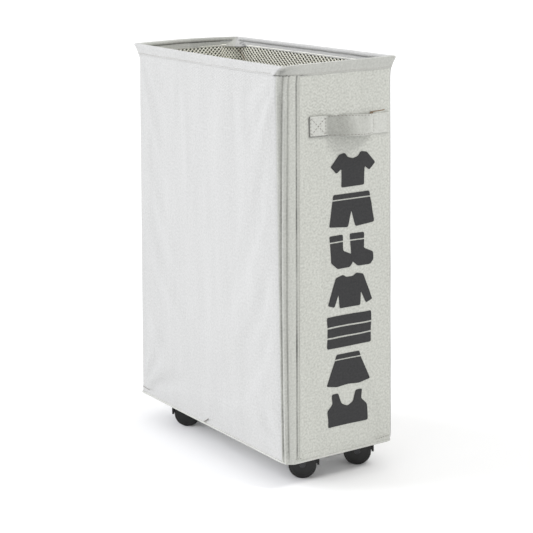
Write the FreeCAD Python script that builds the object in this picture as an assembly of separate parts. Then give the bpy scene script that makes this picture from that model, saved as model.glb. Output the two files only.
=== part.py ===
import FreeCAD, Part
import math
import os

from FreeCAD import Vector

# Slim fabric laundry sorter on four twin-wheel castors.
# Millimetres.  +Z is up.  The origin is on the floor, midway between the walls.
# X runs across the narrow faces and Y along the broad ones; the front face, with
# its handle, looks towards -Y.

UP = Vector(0, 0, 1)

# ---------------------------------------------------------------- fabric body
body_width = 181.0              # X, over the outside of the fabric walls
body_length = 400.0             # Y, over the outside of the fabric walls
wall_height = 550.0             # lower edge of the walls to the top of the rim
skirt_clearance = 40.0          # floor to the lower edge of the walls
corner_radius = 6.0             # outside, at the vertical corners
wall_thickness = 1.5
bottom_thickness = 1.5

# ------------------------------------------------------------------- rim hem
hoop_wire = 4.0                 # diameter of the steel hoop in the hem
hoop_clearance = 0.1            # round the wire, in its channel
hem_fabric = 1.2                # thickness of the folded fabric over the wire
hem_outer_drop = 14.0           # rim to the hem's lower edge, outside
hem_inner_drop = 20.0           # the same, inside
wall_tuck = 7.0                 # how far the walls reach up inside the hem

# --------------------------------------------------------------- mesh collar
collar_thickness = 1.0
collar_depth = 110.0
collar_sleeve_gap = 0.5         # where the collar cuts inside the pole sleeves
channel_thickness = 2.6         # lower hem of the collar
channel_height = 14.0

# ------------------------------------------------------- trims on the outside
strip_width = 14.0              # sewn strip that closes the front wall
strip_thickness = 1.0
strip_inset = 7.0               # from the side of the body to the strip
piping_height = 3.0
piping_proud = 0.8
welt_proud = 0.8                # raised seam round each vertical corner
trim_gap = 0.3                  # between trims that do not touch

# -------------------------------------------------------------- strap handles
handle_drop = 83.5              # rim to the middle of the strap
handle_offset = 18.0            # middle of the strap from the face's centre line
strap_width = 27.5
strap_thickness = 1.8
tab_length = 28.0               # sewn end
strap_bow_length = 74.0         # free stretch between the sewn ends
strap_bow = 14.0                # how far the free stretch stands out

# -------------------------------------------------------- corner poles, sleeves
pole_diameter = 7.0
pole_wall = 1.0
cap_flange = 1.5
cap_plug_length = 6.0
plug_clearance = 0.05
sleeve_clearance = 0.3          # round the pole, and from the sleeve to the walls
sleeve_fabric = 1.2

# ---------------------------------------------------------------- base boards
board_thickness = 6.0
board_clearance = 1.0           # to the fabric walls, all round
insert_thickness = 4.0
insert_clearance = 1.6

# -------------------------------------------------------------------- castors
front_axis_inset = 51.0         # front face to the front swivel axes
rear_axis_inset = 75.0          # rear face to the rear swivel axes
front_track = 96.0              # between the two front swivel axes
rear_track = 86.0
front_rest_angle = -33.0        # where the wheels trail at rest, from +X
rear_rest_angle = 147.0

wheel_diameter = 40.0
wheel_width = 7.2
wheel_edge = 1.0                # rounding of the tread's shoulders
wheel_rim_width = 3.5           # raised rim round a shallow dish in the outer face
wheel_dish_depth = 0.6
hub_wall = 1.8                  # round the pocket for the axle's head
axle_diameter = 5.0
axle_head_diameter = 8.0
axle_head_thickness = 1.0
axle_clearance = 0.05           # axle in the wheels, and kingpin in the hood
side_clearance = 0.3            # between parts that turn beside each other
trail = 15.0                    # swivel axis to the axle

web_thickness = 9.0             # hood's middle, between the wheels
axle_boss_radius = 7.0
axle_boss_proud = 0.3
hood_clearance = 0.8            # wheel's tread to the inside of the hood
hood_thickness = 1.8
hood_end_angle = 142.0          # from the trailing end, over the top
hood_tab_thickness = 3.2        # thicker trailing end of the hood
hood_tab_height = 9.0
neck_radius = 4.8
neck_rise = 6.0                 # lower end of the neck, above the axle
boss_radius = 8.5
boss_rise = 0.5                 # above the crown of the hood

kingpin_diameter = 5.0
kingpin_head_diameter = 7.5
kingpin_head_thickness = 1.4
kingpin_play = 0.2
washer_radius = 8.0
washer_thickness = 0.8
swivel_play = 0.1

plate_size = 38.0
plate_thickness = 2.4
plate_corner = 4.0
screw_spacing = 27.0            # square pattern
screw_diameter = 4.0
screw_head_diameter = 7.6
screw_clearance = 0.15
nut_flats = 7.0
nut_thickness = 3.2
nut_pocket_clearance = 0.15
thread_clearance = 0.03

# ------------------------------------------------------- heights that follow
half_width = body_width / 2
half_length = body_length / 2
rim_top = skirt_clearance + wall_height
wheel_radius = wheel_diameter / 2
hood_inner_radius = wheel_radius + hood_clearance
hood_outer_radius = hood_inner_radius + hood_thickness
boss_top = wheel_radius + hood_outer_radius + boss_rise
washer_bottom = boss_top + swivel_play
plate_bottom = washer_bottom + washer_thickness
plate_top = plate_bottom + plate_thickness
board_bottom = plate_top + bottom_thickness
board_top = board_bottom + board_thickness
insert_top = board_top + insert_thickness
hem_bottom = rim_top - hem_outer_drop
hem_inner_bottom = rim_top - hem_inner_drop
wall_top = hem_bottom + wall_tuck
collar_top = hem_inner_bottom
collar_bottom = collar_top - collar_depth

# hem's section, measured in from the outside of the walls
channel_size = hoop_wire + 2 * hoop_clearance
hem_proud = channel_size / 2 + hem_fabric - wall_thickness / 2
hem_inner_face = wall_thickness / 2 + channel_size / 2 + hem_fabric
hem_leg_outer_face = hem_inner_face - hem_fabric

# wheels and hood; widths are measured out from the middle of the web
wheel_dish_radius = wheel_radius - wheel_rim_width
neck_bottom = wheel_radius + neck_rise
wheel_inner = web_thickness / 2 + axle_boss_proud + side_clearance
wheel_outer = wheel_inner + wheel_width
head_pocket_radius = axle_head_diameter / 2 + side_clearance
head_pocket_depth = axle_head_thickness + side_clearance

sleeve_inner_radius = pole_diameter / 2 + sleeve_clearance
sleeve_outer_radius = sleeve_inner_radius + sleeve_fabric
sleeve_top = hem_inner_bottom - trim_gap
pole_inset = wall_thickness + sleeve_clearance + sleeve_outer_radius
pole_x = half_width - pole_inset
pole_y = half_length - pole_inset

# the collar's lower hem passes inside the sleeves, so its corners are rounder
channel_outset = (channel_thickness - collar_thickness) / 2 - trim_gap
channel_inset = hem_leg_outer_face - channel_outset
diagonal = math.sqrt(2)
channel_radius = (diagonal * (pole_inset - channel_inset) + sleeve_outer_radius
                  + collar_sleeve_gap) / (diagonal - 1)

castors = {
    "front_left": (-front_track / 2, front_axis_inset - half_length, front_rest_angle),
    "front_right": (front_track / 2, front_axis_inset - half_length, front_rest_angle),
    "rear_left": (-rear_track / 2, half_length - rear_axis_inset, rear_rest_angle),
    "rear_right": (rear_track / 2, half_length - rear_axis_inset, rear_rest_angle),
}
corners = {
    "front_left": (-1, -1),
    "front_right": (1, -1),
    "rear_left": (-1, 1),
    "rear_right": (1, 1),
}


# -------------------------------------------------------------------- helpers
def save(name, shape):
    """One node, one STEP file."""
    shape.exportStep("parts/" + name + ".step")


def box(low, high):
    """Box between two opposite corners."""
    size = [high[i] - low[i] for i in range(3)]
    return Part.makeBox(size[0], size[1], size[2], Vector(*low))


def rod(radius, low, high, x=0.0, y=0.0):
    """Upright cylinder between two heights."""
    return Part.makeCylinder(radius, high - low, Vector(x, y, low), UP)


def cross_rod(radius, low, high, x, z):
    """Cylinder along Y between two places on its axis."""
    return Part.makeCylinder(radius, high - low, Vector(x, low, z), Vector(0, 1, 0))


def round_block(half_x, half_y, radius, low, high):
    """Upright block with rounded vertical corners."""
    block = box((-half_x, -half_y, low), (half_x, half_y, high))
    upright = [edge for edge in block.Edges
               if abs(edge.Vertexes[0].Z - edge.Vertexes[-1].Z) > (high - low) / 2]
    return block.makeFillet(radius, upright)


def ring(inset, thickness, low, high, radius=None):
    """Band that follows the walls; inset is measured in from their outside.

    Its corners are concentric with the walls' unless a radius is given.
    """
    outer_radius = corner_radius - inset if radius is None else radius
    inner_radius = outer_radius - thickness
    far = inset + thickness
    outer = round_block(half_width - inset, half_length - inset, outer_radius, low, high)
    inner = round_block(half_width - far, half_length - far, inner_radius, low, high)
    return outer.cut(inner)


def group(solids):
    """Identical pieces that share a node."""
    return Part.makeCompound(solids)


# ---------------------------------------------------------------- fabric body
def wall_panels():
    """Four walls that meet at the ends of the rounded corners."""
    tube = ring(0.0, wall_thickness, skirt_clearance, wall_top)
    flat_x = half_width - corner_radius
    low = skirt_clearance
    front_zone = box((-flat_x, -half_length, low), (flat_x, corner_radius - half_length, wall_top))
    rear_zone = front_zone.mirror(Vector(0, 0, 0), Vector(0, 1, 0))
    sides = tube.cut(front_zone).cut(rear_zone)
    left_zone = box((-half_width, -half_length, low), (0, half_length, wall_top))
    right_zone = left_zone.mirror(Vector(0, 0, 0), Vector(1, 0, 0))
    save("front_panel", tube.common(front_zone))
    save("rear_panel", tube.common(rear_zone))
    save("left_panel", sides.common(left_zone))
    save("right_panel", sides.common(right_zone))


def screw_points():
    """Centres of all the castor screws; the plates sit square to the body."""
    half = screw_spacing / 2
    points = []
    for x, y, angle in castors.values():
        points += [(x + i * half, y + j * half) for i in (-1, 1) for j in (-1, 1)]
    return points


def drill(shape, radius, low, high, places):
    """Holes through a board or a cloth."""
    for x, y in places:
        shape = shape.cut(rod(radius, low, high, x, y))
    return shape


def bottom_panel():
    inner = wall_thickness
    cloth = round_block(half_width - inner, half_length - inner, corner_radius - inner,
                        plate_top, board_bottom)
    cloth = drill(cloth, screw_diameter / 2 + screw_clearance, plate_top, board_bottom,
                  screw_points())
    save("bottom_panel", cloth)


def rim_hem():
    """Folded band over the hoop; the walls' top edges are sewn up inside it."""
    band = ring(-hem_proud, hem_proud + hem_inner_face, hem_bottom, rim_top)
    leg = ring(hem_leg_outer_face, hem_fabric, hem_inner_bottom, hem_bottom)
    channel_top = rim_top - hem_fabric
    channel = ring(wall_thickness / 2 - channel_size / 2, channel_size,
                   channel_top - channel_size, channel_top)
    slot = ring(0.0, wall_thickness, hem_bottom, wall_top)
    save("rim_hem", band.fuse(leg).cut(channel).cut(slot).removeSplitter())


def rim_hoop():
    """Round wire bent to the shape of the mouth."""
    z = rim_top - hem_fabric - hoop_clearance - hoop_wire / 2
    inset = wall_thickness / 2
    bend = corner_radius - inset
    flat_x = half_width - corner_radius
    flat_y = half_length - corner_radius
    wire = hoop_wire / 2
    solid = None
    for sx, sy in corners.values():
        corner = Part.makeTorus(bend, wire, Vector(sx * flat_x, sy * flat_y, z), UP)
        xs = sorted((sx * flat_x, sx * (flat_x + bend + wire)))
        ys = sorted((sy * flat_y, sy * (flat_y + bend + wire)))
        corner = corner.common(box((xs[0], ys[0], z - wire), (xs[1], ys[1], z + wire)))
        solid = corner if solid is None else solid.fuse(corner)
    for side in (-1, 1):
        along_x = Vector(-flat_x, side * (flat_y + bend), z)
        along_y = Vector(side * (flat_x + bend), -flat_y, z)
        solid = solid.fuse(Part.makeCylinder(wire, 2 * flat_x, along_x, Vector(1, 0, 0)))
        solid = solid.fuse(Part.makeCylinder(wire, 2 * flat_y, along_y, Vector(0, 1, 0)))
    save("rim_hoop", solid)


def mesh_collar():
    """Netting that hangs inside the mouth, and its lower hem."""
    save("mesh_collar", ring(hem_leg_outer_face, collar_thickness, collar_bottom + channel_height,
                             collar_top, channel_radius - channel_outset))
    save("collar_channel", ring(channel_inset, channel_thickness, collar_bottom,
                                collar_bottom + channel_height, channel_radius))


# ------------------------------------------------------- trims on the outside
def closing_strip():
    left = strip_inset - half_width
    save("closing_strip", box((left, -half_length - strip_thickness,
                               skirt_clearance + piping_height + trim_gap),
                              (left + strip_width, -half_length, hem_bottom - trim_gap)))


def bottom_piping():
    save("bottom_piping", ring(-piping_proud, piping_proud, skirt_clearance,
                               skirt_clearance + piping_height))


def corner_welts():
    """Raised seams that wrap the four vertical corners."""
    low = skirt_clearance + piping_height + trim_gap
    high = hem_bottom - trim_gap
    skin = ring(-welt_proud, welt_proud, low, high)
    solids = []
    for sx, sy in corners.values():
        xs = sorted((sx * (half_width - corner_radius), sx * (half_width + welt_proud)))
        ys = sorted((sy * (half_length - corner_radius), sy * (half_length + welt_proud)))
        solids += skin.common(box((xs[0], ys[0], low), (xs[1], ys[1], high))).Solids
    save("corner_welts", group(solids))


# -------------------------------------------------------------- strap handles
def strap(bow, thickness):
    """Bowed band seen from above: a circular arc over the free stretch."""
    half = strap_bow_length / 2
    radius = (half ** 2 + bow ** 2) / (2 * bow)
    centre = Vector(0, radius - bow, 0)
    outer = Part.makeCylinder(radius, strap_width, centre, UP)
    inner = Part.makeCylinder(radius - thickness, strap_width, centre, UP)
    beyond = box((-half, -2 * radius, 0), (half, 0, strap_width))
    return outer.cut(inner).common(beyond)


def handles():
    half = strap_bow_length / 2
    overlap = strap_thickness
    band = strap(strap_bow, strap_thickness)
    for side in (-1, 1):
        inner = side * (half - overlap)
        outer = side * (half + tab_length)
        low = min(inner, outer)
        high = max(inner, outer)
        band = band.fuse(box((low, -strap_thickness, 0), (high, 0, strap_width)))
    band = band.removeSplitter()
    z = rim_top - handle_drop - strap_width / 2
    front = band.copy()
    front.translate(Vector(handle_offset, -half_length, z))
    rear = front.copy()
    rear.rotate(Vector(0, 0, 0), UP, 180)
    save("front_handle", front)
    save("rear_handle", rear)


# --------------------------------------------------------------- corner poles
def corner_poles():
    bore = pole_diameter / 2 - pole_wall
    foot = board_top + cap_flange
    head = sleeve_top - sleeve_fabric - sleeve_clearance - cap_flange
    caps = []
    for name, (sx, sy) in corners.items():
        x = sx * pole_x
        y = sy * pole_y
        pole = rod(pole_diameter / 2, foot, head, x, y).cut(rod(bore, foot, head, x, y))
        save("corner_pole_" + name, pole)
        plug = bore - plug_clearance
        for low, high, flange in ((foot, foot + cap_plug_length, foot - cap_flange),
                                  (head - cap_plug_length, head, head)):
            cap = rod(plug, low, high, x, y)
            cap = cap.fuse(rod(pole_diameter / 2, flange, flange + cap_flange, x, y))
            caps.append(cap)
        roof = sleeve_top - sleeve_fabric
        sleeve = rod(sleeve_outer_radius, board_top, sleeve_top, x, y)
        save("pole_sleeve_" + name, sleeve.cut(rod(sleeve_inner_radius, board_top, roof, x, y)))
    save("pole_caps", group(caps))


# ---------------------------------------------------------------- base boards
def base_board():
    inset = wall_thickness + board_clearance
    board = round_block(half_width - inset, half_length - inset, corner_radius - inset,
                        board_bottom, board_top)
    board = drill(board, screw_diameter / 2 + screw_clearance, board_bottom, board_top,
                  screw_points())
    pocket = nut_prism(nut_flats + 2 * nut_pocket_clearance, board_top - nut_thickness, board_top)
    for x, y in screw_points():
        board = board.cut(pocket.translated(Vector(x, y, 0)))
    save("base_board", board)


def base_insert():
    """Stiff padded floor, notched round the pole sleeves."""
    inset = wall_thickness + insert_clearance
    pad = box((inset - half_width, inset - half_length, board_top),
              (half_width - inset, half_length - inset, insert_top))
    notch = sleeve_outer_radius + trim_gap
    for sx, sy in corners.values():
        xs = sorted((sx * (pole_x - notch), sx * half_width))
        ys = sorted((sy * (pole_y - notch), sy * half_length))
        pad = pad.cut(box((xs[0], ys[0], board_top), (xs[1], ys[1], insert_top)))
    save("base_insert", pad)


# -------------------------------------------------------------------- castors
def nut_prism(flats, low, high):
    """Hexagonal prism with two flats facing Y."""
    reach = flats / math.sqrt(3)
    corner = Vector(reach, 0, low)
    turns = [FreeCAD.Rotation(UP, 60 * i) for i in range(7)]
    outline = Part.makePolygon([turn.multVec(corner) for turn in turns])
    return Part.Face(outline).extrude(Vector(0, 0, high - low))


def screw_cone(low, high):
    """Countersunk head, wide end down."""
    return Part.makeCone(screw_head_diameter / 2, screw_diameter / 2 + screw_clearance,
                         high - low, Vector(0, 0, low), UP)


def screw_head_height():
    return screw_head_diameter / 2 - screw_diameter / 2 - screw_clearance


def fasteners():
    head_top = plate_bottom + screw_head_height()
    screw = screw_cone(plate_bottom, head_top)
    screw = screw.fuse(rod(screw_diameter / 2, head_top, board_top))
    nut = nut_prism(nut_flats, board_top - nut_thickness, board_top)
    nut = nut.cut(rod(screw_diameter / 2 + thread_clearance, board_bottom, board_top))
    places = [Vector(x, y, 0) for x, y in screw_points()]
    save("castor_screws", group([screw.translated(place) for place in places]))
    save("castor_nuts", group([nut.translated(place) for place in places]))


def plate():
    half = plate_size / 2
    body = box((-half, -half, plate_bottom), (half, half, plate_top))
    upright = [edge for edge in body.Edges
               if abs(edge.Vertexes[0].Z - edge.Vertexes[-1].Z) > plate_thickness / 2]
    body = body.makeFillet(plate_corner, upright)
    head_top = plate_bottom + screw_head_height()
    hole = screw_cone(plate_bottom, head_top)
    hole = hole.fuse(rod(screw_diameter / 2 + screw_clearance, head_top, plate_top))
    spot = screw_spacing / 2
    for i in (-1, 1):
        for j in (-1, 1):
            body = body.cut(hole.translated(Vector(i * spot, j * spot, 0)))
    return body.cut(rod(kingpin_diameter / 2, plate_bottom, plate_top))


def washer():
    return rod(washer_radius, washer_bottom, plate_bottom).cut(
        rod(kingpin_diameter / 2, washer_bottom, plate_bottom))


def kingpin():
    head_top = neck_bottom - kingpin_play
    pin = rod(kingpin_diameter / 2, head_top, plate_top)
    return pin.fuse(rod(kingpin_head_diameter / 2, head_top - kingpin_head_thickness, head_top))


def hood():
    """Moulded hood, trailing towards +X from the swivel axis."""
    axle_z = wheel_radius
    reach = 2 * hood_outer_radius
    centre = Vector(trail, 0, axle_z)
    below = box((trail - reach, -reach, axle_z - reach), (trail + reach, reach, axle_z))
    ahead = box((trail - reach, -reach, axle_z - reach), (trail, reach, axle_z))
    ahead.rotate(centre, Vector(0, 1, 0), 180 - hood_end_angle)

    shell = cross_rod(hood_outer_radius, -wheel_outer, wheel_outer, trail, axle_z)
    shell = shell.fuse(rod(boss_radius, axle_z, boss_top))
    tab_face = trail + hood_inner_radius
    tab = box((tab_face - hood_thickness, -wheel_outer, axle_z),
              (tab_face + hood_tab_thickness, wheel_outer, axle_z + hood_tab_height))
    shell = shell.fuse(tab)
    shell = shell.cut(cross_rod(hood_inner_radius, -reach, reach, trail, axle_z))

    half_web = web_thickness / 2
    web = cross_rod(hood_inner_radius + hood_thickness / 2, -half_web, half_web, trail, axle_z)
    body = shell.fuse(web).cut(below).cut(ahead)
    relief = neck_radius + side_clearance
    body = body.cut(box((-reach, -half_web, 0), (relief, half_web, neck_bottom)))
    half_boss = half_web + axle_boss_proud
    body = body.fuse(cross_rod(axle_boss_radius, -half_boss, half_boss, trail, axle_z))
    body = body.fuse(rod(neck_radius, neck_bottom, boss_top))
    body = body.cut(rod(kingpin_diameter / 2 + axle_clearance, 0, boss_top))
    body = body.cut(rod(kingpin_head_diameter / 2 + side_clearance, 0, neck_bottom))
    body = body.cut(cross_rod(axle_diameter / 2, -reach, reach, trail, axle_z))
    return body.removeSplitter()


def axle():
    head_face = wheel_outer - head_pocket_depth + side_clearance
    shaft = cross_rod(axle_diameter / 2, -head_face, head_face, trail, wheel_radius)
    for low in (-head_face - axle_head_thickness, head_face):
        head = cross_rod(axle_head_diameter / 2, low, low + axle_head_thickness,
                         trail, wheel_radius)
        shaft = shaft.fuse(head)
    return shaft


def wheel(side):
    """One wheel; side is +1 or -1 along Y."""
    body = cross_rod(wheel_radius, wheel_inner, wheel_outer, trail, wheel_radius)
    rims = [edge for edge in body.Edges if edge.Curve.TypeId == "Part::GeomCircle"]
    body = body.makeFillet(wheel_edge, rims)
    body = body.cut(cross_rod(wheel_dish_radius, wheel_outer - wheel_dish_depth, wheel_outer,
                              trail, wheel_radius))
    hub = cross_rod(head_pocket_radius + hub_wall, wheel_outer - wheel_dish_depth,
                    wheel_outer, trail, wheel_radius)
    body = body.fuse(hub)
    body = body.cut(cross_rod(head_pocket_radius, wheel_outer - head_pocket_depth, wheel_outer,
                              trail, wheel_radius))
    body = body.cut(cross_rod(axle_diameter / 2 + axle_clearance, wheel_inner, wheel_outer,
                              trail, wheel_radius))
    if side < 0:
        body = body.mirror(Vector(0, 0, 0), Vector(0, 1, 0))
    return body


def castor_set():
    pieces = {
        "castor_hood": (hood(), True),
        "castor_axle": (axle(), True),
        "castor_kingpin": (kingpin(), False),
        "castor_washer": (washer(), False),
        "castor_plate": (plate(), False),
        "castor_wheel_a": (wheel(-1), True),
        "castor_wheel_b": (wheel(1), True),
    }
    for name, (x, y, angle) in castors.items():
        for piece, (shape, turns) in pieces.items():
            placed = shape.copy()
            if turns:
                placed.rotate(Vector(0, 0, 0), UP, angle)
            placed.translate(Vector(x, y, 0))
            save(piece + "_" + name, placed)


os.makedirs("parts", exist_ok=True)
wall_panels()
bottom_panel()
rim_hem()
rim_hoop()
mesh_collar()
closing_strip()
bottom_piping()
corner_welts()
handles()
corner_poles()
base_board()
base_insert()
fasteners()
castor_set()
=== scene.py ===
import math
import bpy
from mathutils import Matrix, Vector, noise


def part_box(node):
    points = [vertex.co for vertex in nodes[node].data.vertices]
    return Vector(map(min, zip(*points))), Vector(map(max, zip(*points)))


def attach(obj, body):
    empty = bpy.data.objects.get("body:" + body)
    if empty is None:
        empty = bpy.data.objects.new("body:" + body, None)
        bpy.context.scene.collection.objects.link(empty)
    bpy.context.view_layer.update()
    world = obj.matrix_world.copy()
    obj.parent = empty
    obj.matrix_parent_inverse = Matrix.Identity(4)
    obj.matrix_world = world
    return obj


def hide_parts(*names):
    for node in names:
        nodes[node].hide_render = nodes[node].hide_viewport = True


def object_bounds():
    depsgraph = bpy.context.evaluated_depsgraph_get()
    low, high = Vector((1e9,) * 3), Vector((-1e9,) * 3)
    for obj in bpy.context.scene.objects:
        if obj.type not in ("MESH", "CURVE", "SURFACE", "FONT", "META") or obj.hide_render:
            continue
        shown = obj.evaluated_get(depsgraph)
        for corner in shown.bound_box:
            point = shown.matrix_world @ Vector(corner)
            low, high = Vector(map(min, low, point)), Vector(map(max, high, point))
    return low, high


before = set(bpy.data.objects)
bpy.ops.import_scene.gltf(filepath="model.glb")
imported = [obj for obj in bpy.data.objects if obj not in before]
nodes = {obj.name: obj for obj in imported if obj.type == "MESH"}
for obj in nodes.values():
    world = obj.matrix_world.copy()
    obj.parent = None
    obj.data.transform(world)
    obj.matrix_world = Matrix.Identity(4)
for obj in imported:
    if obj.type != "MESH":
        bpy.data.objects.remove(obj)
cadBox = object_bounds()
print("frame loaded:", len(nodes), "nodes")

# camera and studio
cameraView = {
    "aim": (0.0, 0.0, 0.315),
    "azimuth": -32.70,
    "elevation": 13.25,
    "roll": -0.83,
    "distance": 2.296,
    "right": 0.0087,
    "up": -0.0423,
    "lens": 105.0,
    "sensor": 36.0,
    "clipEnd": 100.0,
}
studio = {
    "ambient": 0.85,
    "suns": [
        {"name": "sideLight", "power": 2.15, "from": (-0.72, 0.62, 0.52), "spread": 38.0,
         "colour": (0.965, 0.975, 1.03)},
        {"name": "topLight", "power": 1.00, "from": (0.36, -0.55, 0.84), "spread": 14.0,
         "colour": (1.0, 0.995, 0.98)},
    ],
    "floorSize": 60.0,
}


def addCamera(look):
    turn, tilt, roll = (math.radians(look[angle]) for angle in ("azimuth", "elevation", "roll"))
    back = Vector((math.sin(turn) * math.cos(tilt), -math.cos(turn) * math.cos(tilt), math.sin(tilt)))
    level = Vector((math.cos(turn), math.sin(turn), 0.0))
    rise = back.cross(level)
    right = level * math.cos(roll) + rise * math.sin(roll)
    up = rise * math.cos(roll) - level * math.sin(roll)
    place = Vector(look["aim"]) + back * look["distance"] + right * look["right"] + up * look["up"]
    bpy.ops.object.camera_add(location=place, rotation=Matrix((right, up, back)).transposed().to_euler())
    camera = bpy.context.object
    camera.name = "productCamera"
    camera.data.lens = look["lens"]
    camera.data.sensor_width = look["sensor"]
    camera.data.clip_end = look["clipEnd"]
    bpy.context.scene.camera = camera


addCamera(cameraView)

for light in studio["suns"]:
    turned = Vector(light["from"]).to_track_quat("Z", "Y").to_euler()
    bpy.ops.object.light_add(type="SUN", rotation=turned)
    sun = bpy.context.object
    sun.name = light["name"]
    sun.data.energy = light["power"]
    sun.data.angle = math.radians(light["spread"])
    sun.data.color = light["colour"]

world = bpy.data.worlds.new("whiteStudio")
world.use_nodes = True
sky = world.node_tree.nodes["Background"]
sky.inputs["Color"].default_value = (1.0, 1.0, 1.0, 1.0)
sky.inputs["Strength"].default_value = studio["ambient"]
bpy.context.scene.world = world
bpy.context.scene.view_settings.view_transform = "Standard"


# material helpers; a socket knows its own node tree
def feed(source, target):
    if isinstance(source, (int, float, tuple)):
        target.default_value = source
    else:
        target.id_data.links.new(source, target)


def sums(operation, first, second=0.0):
    node = (second if isinstance(first, float) else first).id_data.nodes.new("ShaderNodeMath")
    node.operation = operation
    feed(first, node.inputs[0])
    feed(second, node.inputs[1])
    return node.outputs[0]


def times(first, second):
    return sums("MULTIPLY", first, second)


def plus(first, second):
    return sums("ADD", first, second)


def spread(value, low, high, start=0.0, end=1.0):
    node = value.id_data.nodes.new("ShaderNodeMapRange")
    for label, number in (("From Min", start), ("From Max", end), ("To Min", low), ("To Max", high)):
        node.inputs[label].default_value = number
    feed(value, node.inputs["Value"])
    return node.outputs["Result"]


def grainNoise(vector, scale, stretch=(1, 1, 1), detail=2.0):
    mapping = vector.id_data.nodes.new("ShaderNodeMapping")
    texture = vector.id_data.nodes.new("ShaderNodeTexNoise")
    mapping.inputs["Scale"].default_value = stretch
    texture.inputs["Scale"].default_value = scale
    texture.inputs["Detail"].default_value = detail
    feed(vector, mapping.inputs["Vector"])
    feed(mapping.outputs["Vector"], texture.inputs["Vector"])
    return texture.outputs["Fac"]


def blendColours(factor, first, second):
    mix = factor.id_data.nodes.new("ShaderNodeMix")
    mix.data_type = "RGBA"
    for label, colour in (("A", first), ("B", second)):
        feed((*colour, 1.0) if isinstance(colour, (tuple, list)) else colour, mix.inputs[label])
    feed(factor, mix.inputs["Factor"])
    return mix.outputs["Result"]


def addGroup(name, inputs, outputs):
    group = bpy.data.node_groups.new(name, "ShaderNodeTree")
    for label, value in inputs.items():
        kind = "NodeSocketVector" if value is None else "NodeSocketFloat"
        socket = group.interface.new_socket(label, in_out="INPUT", socket_type=kind)
        if value is not None:
            socket.default_value = value
    for label in outputs:
        group.interface.new_socket(label, in_out="OUTPUT", socket_type="NodeSocketFloat")
    return group, group.nodes.new("NodeGroupInput").outputs, group.nodes.new("NodeGroupOutput").inputs


# woven threads: a fine basket weave under a diagonal twill
weaveLook = {
    "zigzag": 1.15,             # width of the herringbone, in twill pitches
    "climb": 0.75,
    "patch": 11.0,
    "patchPower": 2.5,
    "slub": 330.0,
    "basket": 0.35,
    "twill": 1.5,
    "tone": 0.34,
    "upper": (0.30, 0.85, 0.38, 0.54),      # the twill shows most where the cloth is stretched below the rim
}
weaveGroup, weaveIn, weaveOut = addGroup(
    "wovenThreads", {"Lay": None, "Thread Pitch": 0.0012, "Twill Pitch": 0.003}, ["Height", "Tone"])
apart = weaveGroup.nodes.new("ShaderNodeSeparateXYZ")
feed(weaveIn["Lay"], apart.inputs[0])
threadTurn = sums("DIVIDE", 2 * math.pi, weaveIn["Thread Pitch"])
twillTurn = sums("DIVIDE", 2 * math.pi, weaveIn["Twill Pitch"])
across = sums("SINE", times(apart.outputs["X"], threadTurn))
along = sums("SINE", times(apart.outputs["Y"], threadTurn))
zigzag = sums("PINGPONG", apart.outputs["X"], times(weaveIn["Twill Pitch"], weaveLook["zigzag"]))
twill = sums("SINE", times(plus(apart.outputs["Y"], times(zigzag, weaveLook["climb"])), twillTurn))
patch = sums("POWER", grainNoise(weaveIn["Lay"], weaveLook["patch"]), weaveLook["patchPower"])
twillPatch = times(patch, spread(apart.outputs["Y"], *weaveLook["upper"]))
twillPart = times(twill, times(twillPatch, weaveLook["twill"]))
weaveHeight = plus(times(times(across, along), weaveLook["basket"]), twillPart)
slubPart = sums("SUBTRACT", times(grainNoise(weaveIn["Lay"], weaveLook["slub"]), 1.5), 0.25)
feed(weaveHeight, weaveOut["Height"])
feed(plus(times(weaveHeight, weaveLook["tone"]), slubPart), weaveOut["Tone"])

# how far painted shade darkens the cloth at seams, grooves, folds and gaps, made uneven by noise
paintedShadeGroup, paintedShadeIn, paintedShadeOut = addGroup("seamShade", {"Place": None}, ["Shade"])
paintedShadeAttribute = paintedShadeGroup.nodes.new("ShaderNodeAttribute")
paintedShadeAttribute.attribute_name = "paintedShade"
shadeUnevenness = grainNoise(paintedShadeIn["Place"], 260.0, detail=3.0)
feed(times(paintedShadeAttribute.outputs["Fac"], plus(shadeUnevenness, 0.5)), paintedShadeOut["Shade"])

# soft creases and streaks that run up and down the cloth
streakGroup, streakIn, streakOut = addGroup("clothStreaks", {"Lay": None}, ["Height", "Tone"])
wideStreak = grainNoise(streakIn["Lay"], 1.0, (42, 5, 1), 3.0)
fineStreak = grainNoise(streakIn["Lay"], 1.0, (190, 40, 1), 4.0)
streakSum = plus(times(wideStreak, 0.7), times(fineStreak, 0.3))
feed(streakSum, streakOut["Height"])
feed(streakSum, streakOut["Tone"])

# handling marks on plastic and metal
wearGroup, wearIn, wearOut = addGroup("surfaceWear", {"Place": None, "Fineness": 1.0}, ["Tone", "Height"])
wearPlace = wearGroup.nodes.new("ShaderNodeVectorMath")
wearPlace.operation = "SCALE"
feed(wearIn["Place"], wearPlace.inputs[0])
feed(wearIn["Fineness"], wearPlace.inputs["Scale"])
clouds = grainNoise(wearPlace.outputs[0], 60.0, detail=4.0)
speckle = grainNoise(wearPlace.outputs[0], 900.0)
feed(plus(times(clouds, 0.75), times(speckle, 0.25)), wearOut["Tone"])
feed(speckle, wearOut["Height"])


def startMaterial(name):
    material = bpy.data.materials.new(name)
    material.use_nodes = True
    return material, material.node_tree, material.node_tree.nodes["Principled BSDF"].inputs


def placeGroup(tree, group, place):
    node = tree.nodes.new("ShaderNodeGroup")
    node.node_tree = group
    feed(place, node.inputs[0])
    return node


def addBump(tree, shader, height, strength, depth):
    bump = tree.nodes.new("ShaderNodeBump")
    for label, source in (("Strength", strength), ("Distance", depth), ("Height", height)):
        feed(source, bump.inputs[label])
    feed(bump.outputs["Normal"], shader["Normal"])


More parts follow.
